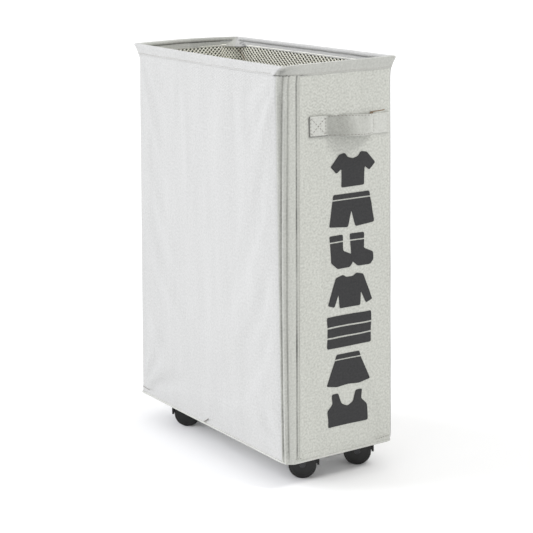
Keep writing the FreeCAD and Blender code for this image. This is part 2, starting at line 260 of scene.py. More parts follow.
def clothMaterial(name, light, shade, threadPitch, twillPitch, weaveDepth, streaks, sheen):
    material, tree, shader = startMaterial(name)
    lay = tree.nodes.new("ShaderNodeUVMap")
    lay.uv_map = "lay"
    weave, streak, seam = (placeGroup(tree, group, lay.outputs["UV"])
                           for group in (weaveGroup, streakGroup, paintedShadeGroup))
    weave.inputs["Thread Pitch"].default_value = threadPitch
    weave.inputs["Twill Pitch"].default_value = twillPitch
    tone = plus(times(weave.outputs["Tone"], 1.0 - streaks), times(streak.outputs["Tone"], streaks))
    cloth = blendColours(spread(tone, 0.0, 1.45), shade, light)
    # painted shade: where the painted-shade mark is high the cloth darkens towards 0.3 of its shade colour
    paintedShadeColour = [value * 0.30 for value in shade]
    feed(blendColours(seam.outputs["Shade"], cloth, paintedShadeColour), shader["Base Color"])
    feed(spread(tone, 0.92, 0.80), shader["Roughness"])
    for label, value in (("Sheen Weight", sheen), ("Sheen Roughness", 0.6), ("Specular IOR Level", 0.25)):
        shader[label].default_value = value
    height = plus(weave.outputs["Height"], times(streak.outputs["Height"], 2.5))
    addBump(tree, shader, height, 0.55, weaveDepth)
    return material


def hardMaterial(name, light, shade, roughness, metallic=0.0, fineness=1.0, coat=0.0, grain=0.00004, shine=0.5):
    material, tree, shader = startMaterial(name)
    wear = placeGroup(tree, wearGroup, tree.nodes.new("ShaderNodeTexCoord").outputs["Object"])
    wear.inputs["Fineness"].default_value = fineness
    tone = wear.outputs["Tone"]
    feed(blendColours(tone, shade, light), shader["Base Color"])
    feed(spread(tone, roughness * 1.2, roughness * 0.8), shader["Roughness"])
    for label, value in (("Metallic", metallic), ("Specular IOR Level", shine), ("Coat Weight", coat),
                         ("Coat Roughness", 0.08)):
        shader[label].default_value = value
    addBump(tree, shader, wear.outputs["Height"], 0.4, grain)
    return material


# cloths: light colour, shade colour, thread pitch, twill pitch, depth of the weave, share of streaks, sheen
clothLooks = {
    "lightCanvas": ((0.532, 0.533, 0.523), (0.378, 0.379, 0.371), 0.0012, 0.0036, 0.0004, 0.4, 0.15),
    "frontCanvas": ((0.546, 0.553, 0.511), (0.328, 0.333, 0.302), 0.0013, 0.0046, 0.0003, 0.25, 0.15),
    "hemCanvas": ((0.540, 0.545, 0.512), (0.400, 0.404, 0.376), 0.0011, 0.0028, 0.0003, 0.35, 0.15),
    "stripCanvas": ((0.520, 0.527, 0.490), (0.340, 0.345, 0.316), 0.0012, 0.0036, 0.0003, 0.35, 0.15),
    "strapWebbing": ((0.560, 0.566, 0.530), (0.400, 0.405, 0.376), 0.0010, 0.0022, 0.0003, 0.25, 0.15),
    "coatedLining": ((0.43, 0.42, 0.355), (0.29, 0.284, 0.232), 0.0013, 0.0040, 0.0003, 0.6, 0.0),
    "netThread": ((0.97, 0.965, 0.89), (0.92, 0.91, 0.80), 0.0008, 0.0016, 0.0001, 0.2, 0.15),
    "sleeveCloth": ((0.58, 0.58, 0.55), (0.44, 0.44, 0.41), 0.0011, 0.0030, 0.0003, 0.5, 0.15),
    "insertCloth": ((0.62, 0.62, 0.59), (0.50, 0.50, 0.47), 0.0012, 0.0036, 0.0003, 0.5, 0.15),
    "printedInk": ((0.042, 0.042, 0.043), (0.028, 0.028, 0.029), 0.0012, 0.0036, 0.0002, 0.3, 0.0),
}
(canvas, frontCanvas, hemCanvas, stripCanvas, strapWebbing, lining, netThread, sleeveCloth, insertCloth,
 printInk) = (clothMaterial(name, *look) for name, look in clothLooks.items())
sewingThread = hardMaterial("sewingThread", (0.40, 0.39, 0.35), (0.27, 0.26, 0.23), 0.75, fineness=3.0)
paleThread = hardMaterial("paleThread", (0.48, 0.47, 0.44), (0.36, 0.35, 0.32), 0.75, fineness=3.0)
strapThread = hardMaterial("strapThread", (0.24, 0.225, 0.20), (0.15, 0.14, 0.125), 0.75, fineness=3.0)
barThread = hardMaterial("barTackThread", (0.30, 0.22, 0.15), (0.20, 0.14, 0.09), 0.75, fineness=3.0)
wheelPlastic = hardMaterial("wheelPlastic", (0.022, 0.022, 0.021), (0.013, 0.013, 0.013), 0.45, shine=0.32)
hoodPlastic = hardMaterial("hoodPlastic", (0.009, 0.009, 0.009), (0.005, 0.005, 0.005), 0.28,
                           coat=0.08, shine=0.25)
zincSteel = hardMaterial("zincSteel", (0.66, 0.67, 0.69), (0.50, 0.51, 0.53), 0.34, metallic=1.0)
washerNylon = hardMaterial("washerNylon", (0.72, 0.71, 0.67), (0.62, 0.61, 0.57), 0.48)
poleMetal = hardMaterial("poleMetal", (0.74, 0.74, 0.75), (0.62, 0.62, 0.63), 0.30, metallic=1.0)
capPlastic = hardMaterial("capPlastic", (0.06, 0.06, 0.06), (0.04, 0.04, 0.04), 0.5)
axleSteel = hardMaterial("axleSteel", (0.055, 0.055, 0.058), (0.035, 0.035, 0.037), 0.38, metallic=0.6)
hardboard = hardMaterial("hardboard", (0.30, 0.20, 0.12), (0.20, 0.13, 0.075), 0.8, fineness=2.0, grain=0.00012)
floorPaint = hardMaterial("floorPaint", (0.96, 0.96, 0.96), (0.94, 0.94, 0.94), 0.9, fineness=0.02, grain=0.0)

bpy.ops.mesh.primitive_plane_add(size=studio["floorSize"], location=(0, 0, cadBox[0].z))
floor = bpy.context.object
floor.name = "studioFloor"
floor.data.materials.append(floorPaint)
print("studio and materials ready")


# modelling helpers
def pickOnly(piece):
    bpy.ops.object.select_all(action="DESELECT")
    piece.select_set(True)
    bpy.context.view_layer.objects.active = piece


def applyModifier(piece, kind, **settings):
    pickOnly(piece)
    modifier = piece.modifiers.new(kind.title(), kind)
    for key, value in settings.items():
        setattr(modifier, key, value)
    bpy.ops.object.modifier_apply(modifier=modifier.name)


def thicken(piece, thickness, **settings):
    applyModifier(piece, "SOLIDIFY", thickness=thickness, offset=-1, **settings)


def editPiece(piece, *steps):                       # runs edit-mode steps on the whole piece
    pickOnly(piece)
    bpy.ops.object.mode_set(mode="EDIT")
    bpy.ops.mesh.select_all(action="SELECT")
    for step in steps:
        step()
    bpy.ops.object.mode_set(mode="OBJECT")


def selectBy(piece, kind, rule):                    # leaves the piece in edit mode, with what the rule picks
    pickOnly(piece)
    bpy.ops.object.mode_set(mode="EDIT")
    bpy.ops.mesh.select_mode(type=kind)
    bpy.ops.mesh.select_all(action="DESELECT")
    bpy.ops.object.mode_set(mode="OBJECT")
    for part in piece.data.edges if kind == "EDGE" else piece.data.polygons:
        part.select = rule([piece.data.vertices[i].co for i in part.vertices])
    bpy.ops.object.mode_set(mode="EDIT")


def sliceAcross(axis, places):                      # an edit-mode step: cuts square to an axis
    way = [float(axis == i) for i in range(3)]
    for place in places:
        bpy.ops.mesh.select_all(action="SELECT")
        bpy.ops.mesh.bisect(plane_co=[place * share for share in way], plane_no=way)


def weld():
    bpy.ops.mesh.remove_doubles(threshold=0.00002)


def faceOut():
    bpy.ops.mesh.normals_make_consistent(inside=False)


def shapeBy(piece, rule):
    for vertex in piece.data.vertices:
        vertex.co = rule(vertex.co)
    piece.data.update()


def newMark(piece, name="paintedShade"):
    return piece.data.attributes.new(name, "FLOAT", "POINT").data


def layBy(piece, rule):                             # keeps each point's flat place as the cloth's own lay
    layers = piece.data.uv_layers
    lay = layers.get("lay") or layers.new(name="lay")
    for loop in piece.data.loops:
        lay.data[loop.index].uv = rule(piece.data.vertices[loop.vertex_index].co)
    for other in [layer for layer in layers if layer.name != "lay"]:
        layers.remove(other)


def finishPiece(piece, name, material, replaced=(), body="hamper", angle=40):
    piece.name = name
    if not piece.data.materials:
        piece.data.materials.append(material)
    pickOnly(piece)
    bpy.ops.object.shade_smooth_by_angle(angle=math.radians(angle))
    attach(piece, body)
    if replaced:
        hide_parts(*replaced)


def joinPieces(pieces):
    pickOnly(pieces[0])
    for piece in pieces:
        piece.select_set(True)
    bpy.ops.object.join()
    return pieces[0]


def ease(value, low, high):
    share = min(1.0, max(0.0, (value - low) / (high - low)))
    return share * share * (3 - 2 * share)


def between(low, high, share):
    return low + (high - low) * share


def noiseAt(x, y, z):
    return noise.noise(Vector((x, y, z)))


# the bag's outline
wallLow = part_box("left_panel")[0]
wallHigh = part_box("right_panel")[1]
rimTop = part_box("rim_hem")[1].z
bagWidth = wallHigh.x - wallLow.x
bagLength = wallHigh.y - wallLow.y

# how far each soft corner stands off the stiff box, at the foot, at the top and at the ear of the rim
bagShape = {
    "corners": [
        {"side": (-1, -1), "foot": (-0.0010, -0.0045), "top": (-0.0040, 0.0),
         "ear": (0.0028, -0.0027), "round": (0.0160, 0.0110), "rise": 0.0},
        {"side": (1, -1), "foot": (-0.0012, -0.0045), "top": (0.0008, 0.0),
         "ear": (0.0022, -0.0016), "round": (0.0060, 0.0100), "rise": 0.0020},
        {"side": (1, 1), "foot": (0.0, 0.0045), "top": (0.0, 0.0010),
         "ear": (0.0, 0.0015), "round": (0.0060, 0.0100), "rise": 0.0027},
        {"side": (-1, 1), "foot": (-0.0055, 0.0088), "top": (0.0025, -0.0024),
         "ear": (-0.0042, 0.0034), "round": (0.0060, 0.0068), "rise": 0.0030},
    ],
    "earRound": 0.003,
    "earStart": 0.027,          # below the rim
    "earEnd": 0.002,
    "earCurl": 2.2,
    "rimArch": (0.0, 0.0002, 0.0016, -0.0008),      # front, right, rear, left
    "tipDrop": 0.0025,          # the near ear droops
    "tipReach": 0.012,
    "sideBulge": 0.0022,        # the left cloth stands out beside the closing strip
    "footTuck": (0.0028, 0.0110),                   # the right front corner's foot is drawn in, over this height
}
sideRuns = [bagWidth, bagLength, bagWidth, bagLength]
sideStarts = [0.0, bagWidth, bagWidth + bagLength, 2 * bagWidth + bagLength]
perimeter = 2 * (bagWidth + bagLength)
corners = ("front_left", "front_right", "rear_left", "rear_right")


def sideAt(place):
    return max(i for i in range(4) if place >= sideStarts[i])


def onShort(place):
    return place < bagWidth or sideStarts[2] < place < sideStarts[3]


def cornerDistance(place):
    return min(abs(place % perimeter - edge) for edge in sideStarts + [perimeter])


def earShare(height):
    share = (height - rimTop + bagShape["earStart"]) / (bagShape["earStart"] - bagShape["earEnd"])
    return min(1.0, max(0.0, share)) ** bagShape["earCurl"]


def cornerPlaces(height, flare, rounding):
    share = (height - wallLow.z) / (wallHigh.z - wallLow.z)
    places = []
    for corner in bagShape["corners"]:
        (sideX, sideY), foot, top, ear = (corner[part] for part in ("side", "foot", "top", "ear"))
        x = sideX * bagWidth / 2 + between(foot[0], top[0], share)
        y = sideY * bagLength / 2 + between(foot[1], top[1], share)
        bend = between(*corner["round"], share)
        if corner["side"] == (1, -1):
            depth, reach = bagShape["footTuck"]
            tuck = depth * (1 - ease(height - wallLow.z, -0.006, reach))
            x, y = x - tuck, y + tuck
        bend = between(bend, bagShape["earRound"], flare)
        places.append((Vector((x + ear[0] * flare, y + ear[1] * flare)), rounding or bend))
    return places


def outward(run):
    return Vector((run.y, -run.x))


# point on the bag at a distance round it from the front left corner
def wrapPoint(place, height, outset, flare=None, rounding=None):
    if flare is None:
        flare = earShare(height)
    places = cornerPlaces(height, flare, rounding)
    place = place % perimeter
    side = sideAt(place)
    before, start, end, after = (places[(side + step) % 4] for step in (-1, 0, 1, 2))
    run = end[0] - start[0]
    length = run.length
    run = run / length
    done = (place - sideStarts[side]) / sideRuns[side] * length
    facing = outward(run)
    if done < start[1]:
        previous = (start[0] - before[0]).normalized()
        middle = start[0] - previous * start[1] + run * start[1]
        angle = math.pi / 4 * (1 + done / start[1])
        facing = outward(previous) * math.cos(angle) + facing * math.sin(angle)
        spot = middle + facing * start[1]
    elif done > length - end[1]:
        following = (after[0] - end[0]).normalized()
        middle = end[0] - run * end[1] + following * end[1]
        angle = math.pi / 4 * (done - length + end[1]) / end[1]
        facing = facing * math.cos(angle) + outward(following) * math.sin(angle)
        spot = middle + facing * end[1]
    else:
        spot = start[0] + run * done
    spot = spot + facing * outset
    return Vector((spot.x, spot.y, height))


# wraps a flat pattern (along, out, up) round the bag
def wrapRound(piece, flare=None, rounding=None, lift=None):
    layBy(piece, lambda flat: (flat.x, flat.z - flat.y * 0.5))

    def rule(flat):
        share = flare(flat) if callable(flare) else flare
        bend = rounding(flat) if callable(rounding) else rounding
        point = wrapPoint(flat.x, flat.z, -flat.y, share, bend)
        if lift:
            point.z += lift(flat)
        return point

    shapeBy(piece, rule)


def rimLift(flat):                                  # the rim rises to its ears and arches a little between them
    place = flat.x % perimeter
    side = sideAt(place)
    share = (place - sideStarts[side]) / sideRuns[side]
    rise = between(bagShape["corners"][side]["rise"], bagShape["corners"][(side + 1) % 4]["rise"], share)
    rise += bagShape["rimArch"][side] * math.sin(math.pi * share)
    if flat.y < -0.0005:
        rise -= bagShape["tipDrop"] * (1 - ease(min(place, perimeter - place), 0.0, bagShape["tipReach"]))
    return rise * ease(flat.z, rimTop - 0.014, rimTop - 0.002)


def columnPlaces(step, corner=0.014, cuts=4):
    places = []
    for start, run in zip(sideStarts, sideRuns):
        places += [start + corner * i / cuts for i in range(cuts)]
        count = max(1, round((run - 2 * corner) / step))
        places += [start + corner + (run - 2 * corner) * i / count for i in range(count)]
        places += [start + run - corner + corner * i / cuts for i in range(cuts)]
    return places + [perimeter]


def evenPlaces(low, high, step):
    count = max(1, round((high - low) / step))
    return [low + (high - low) * i / count for i in range(count + 1)]


def ringRows(out, height, wide, tall, sides):
    turns = [2 * math.pi * i / sides for i in range(sides + 1)]
    return [(out + wide * math.cos(turn), height + tall * math.sin(turn)) for turn in turns]


# flat pattern with a column at each place; rows are heights, or (out, height) pairs
def layGrid(name, places, rows):
    bpy.ops.mesh.primitive_grid_add(x_subdivisions=len(places) - 1, y_subdivisions=len(rows) - 1, size=2)
    piece = bpy.context.object
    piece.name = name

    def rule(co):
        column = round((co.x + 1) / 2 * (len(places) - 1))
        row = rows[round((co.y + 1) / 2 * (len(rows) - 1))]
        out, height = row if isinstance(row, tuple) else (0.0, row)
        return Vector((places[column], -out, height))

    shapeBy(piece, rule)
    return piece


# bag walls: one continuous shell of canvas
wallCloth = {
    "step": 0.0066,
    "rowStep": 0.0072,
    "thickness": 0.0009,
    "gapShade": 0.75,
    "pullTop": 1.4,
    "pullFoot": 1.7,
    "underStrip": (0.036, 0.060),                   # flat under the closing strip, free from here on
    "slack": 0.004,
    "gravity": 0.25,
    "mostMove": 0.0022,
    "frames": 18,
    "weights": {"quality": 6, "mass": 0.25, "tension_stiffness": 25, "compression_stiffness": 25,
                "shear_stiffness": 8, "bending_stiffness": 2.5, "vertex_group_mass": "pinned"},
}
bagWalls = layGrid("bagWalls", columnPlaces(wallCloth["step"]),
                   evenPlaces(wallLow.z + 0.0004, wallHigh.z, wallCloth["rowStep"]))
flatPlaces = [vertex.co.copy() for vertex in bagWalls.data.vertices]


# shallow folds that fan out from the corners of each cloth
def cornerPulls(flat):
    total = 0.0
    for number, edge in enumerate(sideStarts + [perimeter]):
        for height, strength in ((wallHigh.z, wallCloth["pullTop"]), (wallLow.z, wallCloth["pullFoot"])):
            x, z = flat.x - edge, flat.z - height
            reach = math.hypot(x, z)
            fan = math.atan2(abs(z), x)
            fade = ease(reach, 0.010, 0.035) * (1 - ease(reach, 0.05, 0.17))
            wander = 0.6 + noiseAt(fan * 3, number, height * 9)
            total += strength * fade * math.sin(fan * 13 + number * 1.7) * wander
    return total


# soft undulation of the cloth, nothing at its sewn edges
def softField(flat):
    low, high = wallLow.z, wallHigh.z
    hold = ease(flat.z, low, low + 0.05) * (1 - ease(flat.z, high - 0.05, high - 0.012))
    bulge, toEnd = 0.0, perimeter - flat.x
    if flat.x > sideStarts[3]:
        bulge = hold * ease(toEnd, 0.006, 0.036) * (1 - 0.8 * ease(toEnd, 0.06, 0.32))
    hold *= ease(cornerDistance(flat.x), 0.012, 0.05)
    waves = noiseAt(flat.x * 16, flat.z * 3.2, 0.3) + 0.5 * noiseAt(flat.x * 34, flat.z * 9, 5.1)
    edges = ease(flat.z, low, low + 0.02) * (1 - ease(flat.z, high - 0.03, high - 0.012))
    edges *= ease(cornerDistance(flat.x), 0.008, 0.024)
    free = ease(flat.x, *wallCloth["underStrip"]) if flat.x < bagWidth else 1.0
    return free * (0.0008 * hold * waves + 0.0009 * edges * cornerPulls(flat)) + bagShape["sideBulge"] * bulge


shadeMarks = newMark(bagWalls)
for vertex, flat in zip(bagWalls.data.vertices, flatPlaces):
    vertex.co.y = -softField(flat)
    # painted shade on the cloth beside the front left corner's pleat
    shadeMarks[vertex.index].value = 0.30 * (1 - ease(min(flat.x, perimeter - flat.x), 0.009, 0.016))
wrapRound(bagWalls, lift=rimLift)
pinned = bagWalls.vertex_groups.new(name="pinned")
for index, flat in enumerate(flatPlaces):
    hold = max(1 - ease(flat.z, wallLow.z + 0.010, wallLow.z + 0.05),
               ease(flat.z, wallHigh.z - 0.045, wallHigh.z - 0.015),
               1 - ease(cornerDistance(flat.x), 0.014, 0.045),
               1 - ease(flat.x, *wallCloth["underStrip"]))
    if onShort(flat.x):
        hold = max(hold, 0.5 * ease(flat.z, 0.46, 0.50))
    pinned.add([index], hold, "REPLACE")
editPiece(bagWalls, weld, faceOut)


# lets the cloth find its own soft folds, then caps how far each point may move
def relaxCloth(piece, look):
    before = [vertex.co.copy() for vertex in piece.data.vertices]
    pickOnly(piece)
    cloth = piece.modifiers.new("Cloth", "CLOTH")
    for key, value in look["weights"].items():
        setattr(cloth.settings, key, value)
    cloth.settings.shrink_min = -look["slack"]
    cloth.settings.effector_weights.gravity = look["gravity"]
    cloth.collision_settings.use_collision = False
    cloth.point_cache.frame_end = look["frames"]
    for step in range(1, look["frames"] + 1):
        bpy.context.scene.frame_set(step)
    bpy.ops.object.modifier_apply(modifier=cloth.name)
    bpy.context.scene.frame_set(1)
    for vertex, old in zip(piece.data.vertices, before):
        move = vertex.co - old
        size = move.length
        if size > 0:
            vertex.co = old + move * (look["mostMove"] / (look["mostMove"] + size))


relaxCloth(bagWalls, wallCloth)
for material in (canvas, lining, frontCanvas, lining):   # each cloth with its coated inside
    bagWalls.data.materials.append(material)
lay = bagWalls.data.uv_layers["lay"]
for polygon in bagWalls.data.polygons:
    place = sum(lay.data[i].uv.x for i in polygon.loop_indices) / polygon.loop_total
    shortSide = place < bagWidth - 0.003 or sideStarts[2] + 0.003 < place < sideStarts[3] - 0.003
    polygon.material_index = 2 if shortSide else 0
outerCount = len(bagWalls.data.vertices)
thicken(bagWalls, wallCloth["thickness"], use_even_offset=True, material_offset=1)
shadeMarks = bagWalls.data.attributes["paintedShade"].data
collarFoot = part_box("collar_channel")[1].z
for vertex in bagWalls.data.vertices[outerCount:]:  # painted shade on the lining behind the netting
    shadeMarks[vertex.index].value = wallCloth["gapShade"] * ease(vertex.co.z, collarFoot, collarFoot + 0.02)
finishPiece(bagWalls, "bagWalls", canvas, ["front_panel", "rear_panel", "left_panel", "right_panel"])
print("bag walls sewn:", len(bagWalls.data.polygons), "faces")

# rim hem over the wire hoop
hemShape = {
    "thickness": 0.0007,
    "profile": [(0.0004, -0.0138), (0.0009, -0.0132), (0.0010, -0.0110), (0.0015, -0.0080), (0.0021, -0.0055),
                (0.0025, -0.0030), (0.0020, -0.0008), (0.0004, 0.0), (-0.0020, -0.0002), (-0.0036, -0.0014),
                (-0.0041, -0.0032), (-0.0040, -0.0046), (-0.0031, -0.0055), (-0.0037, -0.0062),
                (-0.0042, -0.0074), (-0.0043, -0.0092), (-0.0048, -0.0100), (-0.0048, -0.0108),
                (-0.0042, -0.0114)],
    "outerLeg": 6,              # the last row of the profile on the outside of the hoop
    "innerLeg": 8,              # the first on its inside
    "outerDrop": 0.0138,
    "innerDrop": 0.0114,
    # painted shade by row of the profile: the hem's lower edge and the folds of its inner leg
    "shadeMarks": {12: 0.80, 0: 0.05, 15: 0.15, 11: 0.2, 13: 0.3},
    "frontShade": 0.17,         # painted shade on the short hems
    "frontDrop": 0.0012,        # the short hems hang a little deeper
    "gusset": 0.0075,           # how far the inner leg dips at the corners
    "innerRound": (0.0080, 0.0300),
    "overlap": 0.0140,          # the short hem laps over the long one in a slanting fold at the near corner
    "lapRise": 0.0006,
    "edgeRise": 0.0007,         # the long cloth's edge stands up beside the fold
    "backReach": (0.030, 0.038),                    # the gathered cloth in the back corner, to each side
    "backStand": 0.0040,
}


def hemFlare(flat):
    return earShare(flat.z) * ease(-flat.y, -0.0040, 0.0005)


def hemBend(flat):
    if -flat.y > -0.0030:
        return None
    return between(*hemShape["innerRound"], ease(rimTop - flat.z, 0.003, 0.0115))


def hemLift(flat):
    place = flat.x % perimeter
    lift = rimLift(flat)
    away, drop = cornerDistance(place), rimTop - flat.z
    if sideAt(place) in (0, 2) and -flat.y > 0:
        lift -= hemShape["frontDrop"] * ease(away, 0.0, 0.02) * ease(drop, 0.006, 0.014)
    if -flat.y < -0.0025:
        dip = (0.2 if abs(place - sideStarts[2]) < 0.05 else 1.0) * hemShape["gusset"]
        lift -= dip * ease(drop, 0.0060, hemShape["innerDrop"]) * (1 - ease(away, 0.004, 0.034))
    return lift + 0.0004 * noiseAt(place * 30, flat.y * 200, 2.0)


def backFoldShare(away, drop):                      # 1 in the middle of the gathered triangle, 0 at its slanting edges
    reach = hemShape["backReach"][0 if away > 0 else 1]
    reach *= min(1.0, max(0.15, -drop / hemShape["innerDrop"]))
    return 1 - ease(abs(away), 0.75 * reach, reach)


hemPlaces = columnPlaces(0.006)
rimHem = layGrid("rimHem", hemPlaces, [(out, rimTop + drop) for out, drop in hemShape["profile"]])
for vertex in rimHem.data.vertices:
    unevenness = 0.0004 * noiseAt(vertex.co.x * 40, vertex.co.z * 60, 1.0)
    vertex.co.y -= unevenness * ease(rimTop - vertex.co.z, 0.004, 0.012)


def hemRow(co):                                     # the nearest row of the profile
    return min(range(len(hemShape["profile"])), key=lambda i: abs(hemShape["profile"][i][1] + rimTop - co.z)
               + abs(hemShape["profile"][i][0] + co.y))


shadeMarks = newMark(rimHem)
for vertex in rimHem.data.vertices:
    row = hemRow(vertex.co)
    paintedShade = hemShape["shadeMarks"].get(row, 0.0)
    place, drop = vertex.co.x, vertex.co.z - rimTop
    signed = place if place < perimeter / 2 else place - perimeter
    down = min(1.0, max(0.0, -drop / hemShape["outerDrop"]))
    if row <= hemShape["outerLeg"]:
        # painted shade on the short hems
        if onShort(place % perimeter):
            paintedShade += hemShape["frontShade"]
        if -0.001 < signed < 0.03:
            # painted shade on the lapped fold at the near corner
            paintedShade += 0.26 * (1 - ease(signed, 0.004, 0.018)) * ease(down, 0.05, 0.4)
            paintedShade += 0.08 * (1 - ease(signed, 0.02, 0.03))
            vertex.co.y -= hemShape["lapRise"] * down * (1 - ease(signed, 0.006, 0.024))
        # painted shadow under the front hem's lower edge by the near corner
        if row <= 1 and -0.001 < signed:
            paintedShade += (0.95 - 0.35 * row) * (1 - ease(signed, 0.030, 0.048))
        if -0.009 < signed < -0.001:
            vertex.co.y -= hemShape["edgeRise"] * down
        vertex.co.x -= hemShape["overlap"] * down * (1 - ease(abs(signed), 0.0, 0.045))
    if row >= hemShape["innerLeg"]:
        away = place - sideStarts[2]
        gather = backFoldShare(away, drop)
        stand = hemShape["backStand"] * gather * ease(-drop, 0.0, 0.0090)
        vertex.co.y = max(vertex.co.y, between(vertex.co.y, 0.0042, gather)) + stand
        # painted light and shade at the gathered back corner: none in the triangle's middle, a dark line along its
        # slanting edge on the long side, more shade on the rear side beyond it
        paintedShade *= 1 - gather
        if 0.05 < gather < 0.95 and away < 0:
            paintedShade = 0.85
        if gather == 0 and 0 < away < 0.09:
            paintedShade += 0.16
    shadeMarks[vertex.index].value = paintedShade
for material in (canvas, hemCanvas):
    rimHem.data.materials.append(material)
for polygon in rimHem.data.polygons:
    column = polygon.index % (len(hemPlaces) - 1)
    polygon.material_index = int(onShort((hemPlaces[column] + hemPlaces[column + 1]) / 2))
wrapRound(rimHem, flare=hemFlare, rounding=hemBend, lift=hemLift)
editPiece(rimHem, weld, faceOut)
thicken(rimHem, hemShape["thickness"], use_even_offset=True)
finishPiece(rimHem, "rimHem", hemCanvas, ["rim_hem"], angle=60)
print("rim hem folded over the wire")

# closing strip, its pleats and the corner seams
stripShape = {                                      # places from the pleat's groove or from the seam, out, painted shade in the grooves
    "pleat": [(-0.0160, -0.0003, 0.30), (-0.0138, 0.0008, 0.30), (-0.0120, 0.0014, 0.34), (-0.0108, 0.0010, 0.50),
              (-0.0098, 0.0002, 0.70), (-0.0086, 0.0002, 0.45), (-0.0074, 0.0014, 0.22), (-0.0054, 0.0026, 0.10),
              (-0.0030, 0.0023, 0.15), (-0.0016, 0.0014, 0.30), (-0.0006, 0.0004, 0.55), (0.0004, 0.0004, 0.45),
              (0.0016, 0.0014, 0.05), (0.0032, 0.0019, 0.0)],
    "seam": [(-0.0060, 0.0020, 0.0), (-0.0030, 0.0020, 0.0), (-0.0019, 0.0018, 0.10), (-0.0011, 0.0012, 0.75),
             (0.0001, 0.0006, 1.0), (0.0011, 0.0006, 0.75), (0.0021, 0.0010, 0.10), (0.0034, 0.0012, 0.05),
             (0.0042, 0.0008, 0.40), (0.0050, 0.0009, 0.1), (0.0062, 0.0004, 0.0), (0.0070, -0.0004, 0.0)],
    "groove": (0.0012, 0.0116),     # at the foot, and how far it wanders at the top
    "seamLine": (0.0148, 0.0100),
    "reach": 1.46,                  # the first pleat reaches further round at the top
    "low": 0.0006,
    "high": -0.0135,
    "thickness": 0.0006,
    "waver": 0.00025,
    "rowStep": 0.006,
}
# corner seams: place from the corner, out, painted shade
seamShape = [(-0.0060, -0.0003, 0.0), (-0.0030, 0.0001, 0.55), (-0.0016, 0.0002, 0.2), (-0.0010, 0.0003, 0.0),
             (0.0, 0.0004, 0.0), (0.0010, 0.0003, 0.0), (0.0016, 0.0002, 0.12), (0.0030, 0.0001, 0.0),
             (0.0060, -0.0003, 0.0)]
closingHigh = rimTop + stripShape["high"]


# long moulding of folded cloth; the section is a rule that gives place, out and painted shade at a share of the height
def sectionStrip(name, section):
    rows = evenPlaces(wallLow.z + stripShape["low"], closingHigh, stripShape["rowStep"])
    piece = layGrid(name, list(range(len(section(0.0)))), rows)
    shadeMarks = newMark(piece)
    for vertex in piece.data.vertices:
        share = (vertex.co.z - wallLow.z) / (wallHigh.z - wallLow.z)
        place, out, paintedShade = section(share)[round(vertex.co.x)]
        wander = stripShape["waver"] * noiseAt(place * 300, vertex.co.z * 14, 3.0)
        fading = ease(vertex.co.z, wallLow.z + 0.002, wallLow.z + 0.018)
        unevenness = 0.8 + 0.6 * noiseAt(place * 90, vertex.co.z * 22, 9.0)
        shadeMarks[vertex.index].value = paintedShade * fading * unevenness
        vertex.co = Vector((place + wander, -(out + wander), vertex.co.z))
    wrapRound(piece)
    editPiece(piece, faceOut)
    return piece


def stripSection(share):
    groove = stripShape["groove"][0] + stripShape["groove"][1] * share * share
    reach = between(1.0, stripShape["reach"], share * share)
    seam = stripShape["seamLine"][0] + stripShape["seamLine"][1] * share
    gap = seam - groove
    points = [(groove + place * (reach if place < -0.011 else 1.0), out, paintedShade)
              for place, out, paintedShade in stripShape["pleat"]]
    points += [(seam + place, out, paintedShade) for place, out, paintedShade in stripShape["seam"] if gap + place > 0.0034]
    while len(points) < len(stripShape["pleat"]) + len(stripShape["seam"]):
        points.insert(len(stripShape["pleat"]), (groove + 0.0033, 0.0017, 0.0))
    return points


closingStrip = sectionStrip("closingStrip", stripSection)
thicken(closingStrip, stripShape["thickness"])
finishPiece(closingStrip, "closingStrip", stripCanvas, ["closing_strip"], angle=50)
cornerSeams = joinPieces([
    sectionStrip("seam%d" % count, lambda share: [(start + place, out, paintedShade) for place, out, paintedShade in seamShape])
    for count, start in enumerate(sideStarts[1:])])
thicken(cornerSeams, stripShape["thickness"])
finishPiece(cornerSeams, "cornerSeams", canvas, ["corner_welts"], angle=50)

# piping round the foot and the bottom cloth
pipingShape = {"radius": 0.0016, "out": 0.0002, "height": 0.0017, "sides": 8}
bottomPiping = layGrid("bottomPiping", columnPlaces(0.006),
                       ringRows(pipingShape["out"], wallLow.z + pipingShape["height"], pipingShape["radius"],
                                pipingShape["radius"], pipingShape["sides"]))
wrapRound(bottomPiping, flare=0.0)
editPiece(bottomPiping, weld, faceOut)
finishPiece(bottomPiping, "bottomPiping", hemCanvas, ["bottom_piping"])

bottomShape = {"thickness": 0.0010, "margin": 0.0014, "round": 0.0055, "under": 0.0001}
panelLow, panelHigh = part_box("bottom_panel")
bpy.ops.mesh.primitive_grid_add(x_subdivisions=30, y_subdivisions=64, size=2)
bottomCloth = bpy.context.object


def bottomRule(co):
    (frontLeft, turned), (frontRight, _), (backRight, _), (backLeft, _) = cornerPlaces(panelLow.z, 0.0, None)
    acrossShare, alongShare = (co.x + 1) / 2, (co.y + 1) / 2
    left = between(frontLeft.x, backLeft.x, alongShare) + bottomShape["margin"]
    right = between(frontRight.x, backRight.x, alongShare) - bottomShape["margin"]
    near = between(frontLeft.y, frontRight.y, acrossShare) + bottomShape["margin"]
    far = between(backLeft.y, backRight.y, acrossShare) - bottomShape["margin"]
    point = Vector((between(left, right, acrossShare), between(near, far, alongShare),
                    panelHigh.z - bottomShape["under"]))
    bend = turned if co.x < 0 and co.y < 0 else bottomShape["round"]
    over = Vector((max(0, bend - min(point.x - left, right - point.x)),
                   max(0, bend - min(point.y - near, far - point.y))))
    if over.x > 0 and over.y > 0 and over.length > bend:
        shrink = 1 - bend / over.length
        point.x -= math.copysign(over.x * shrink, co.x)
        point.y -= math.copysign(over.y * shrink, co.y)
    return point


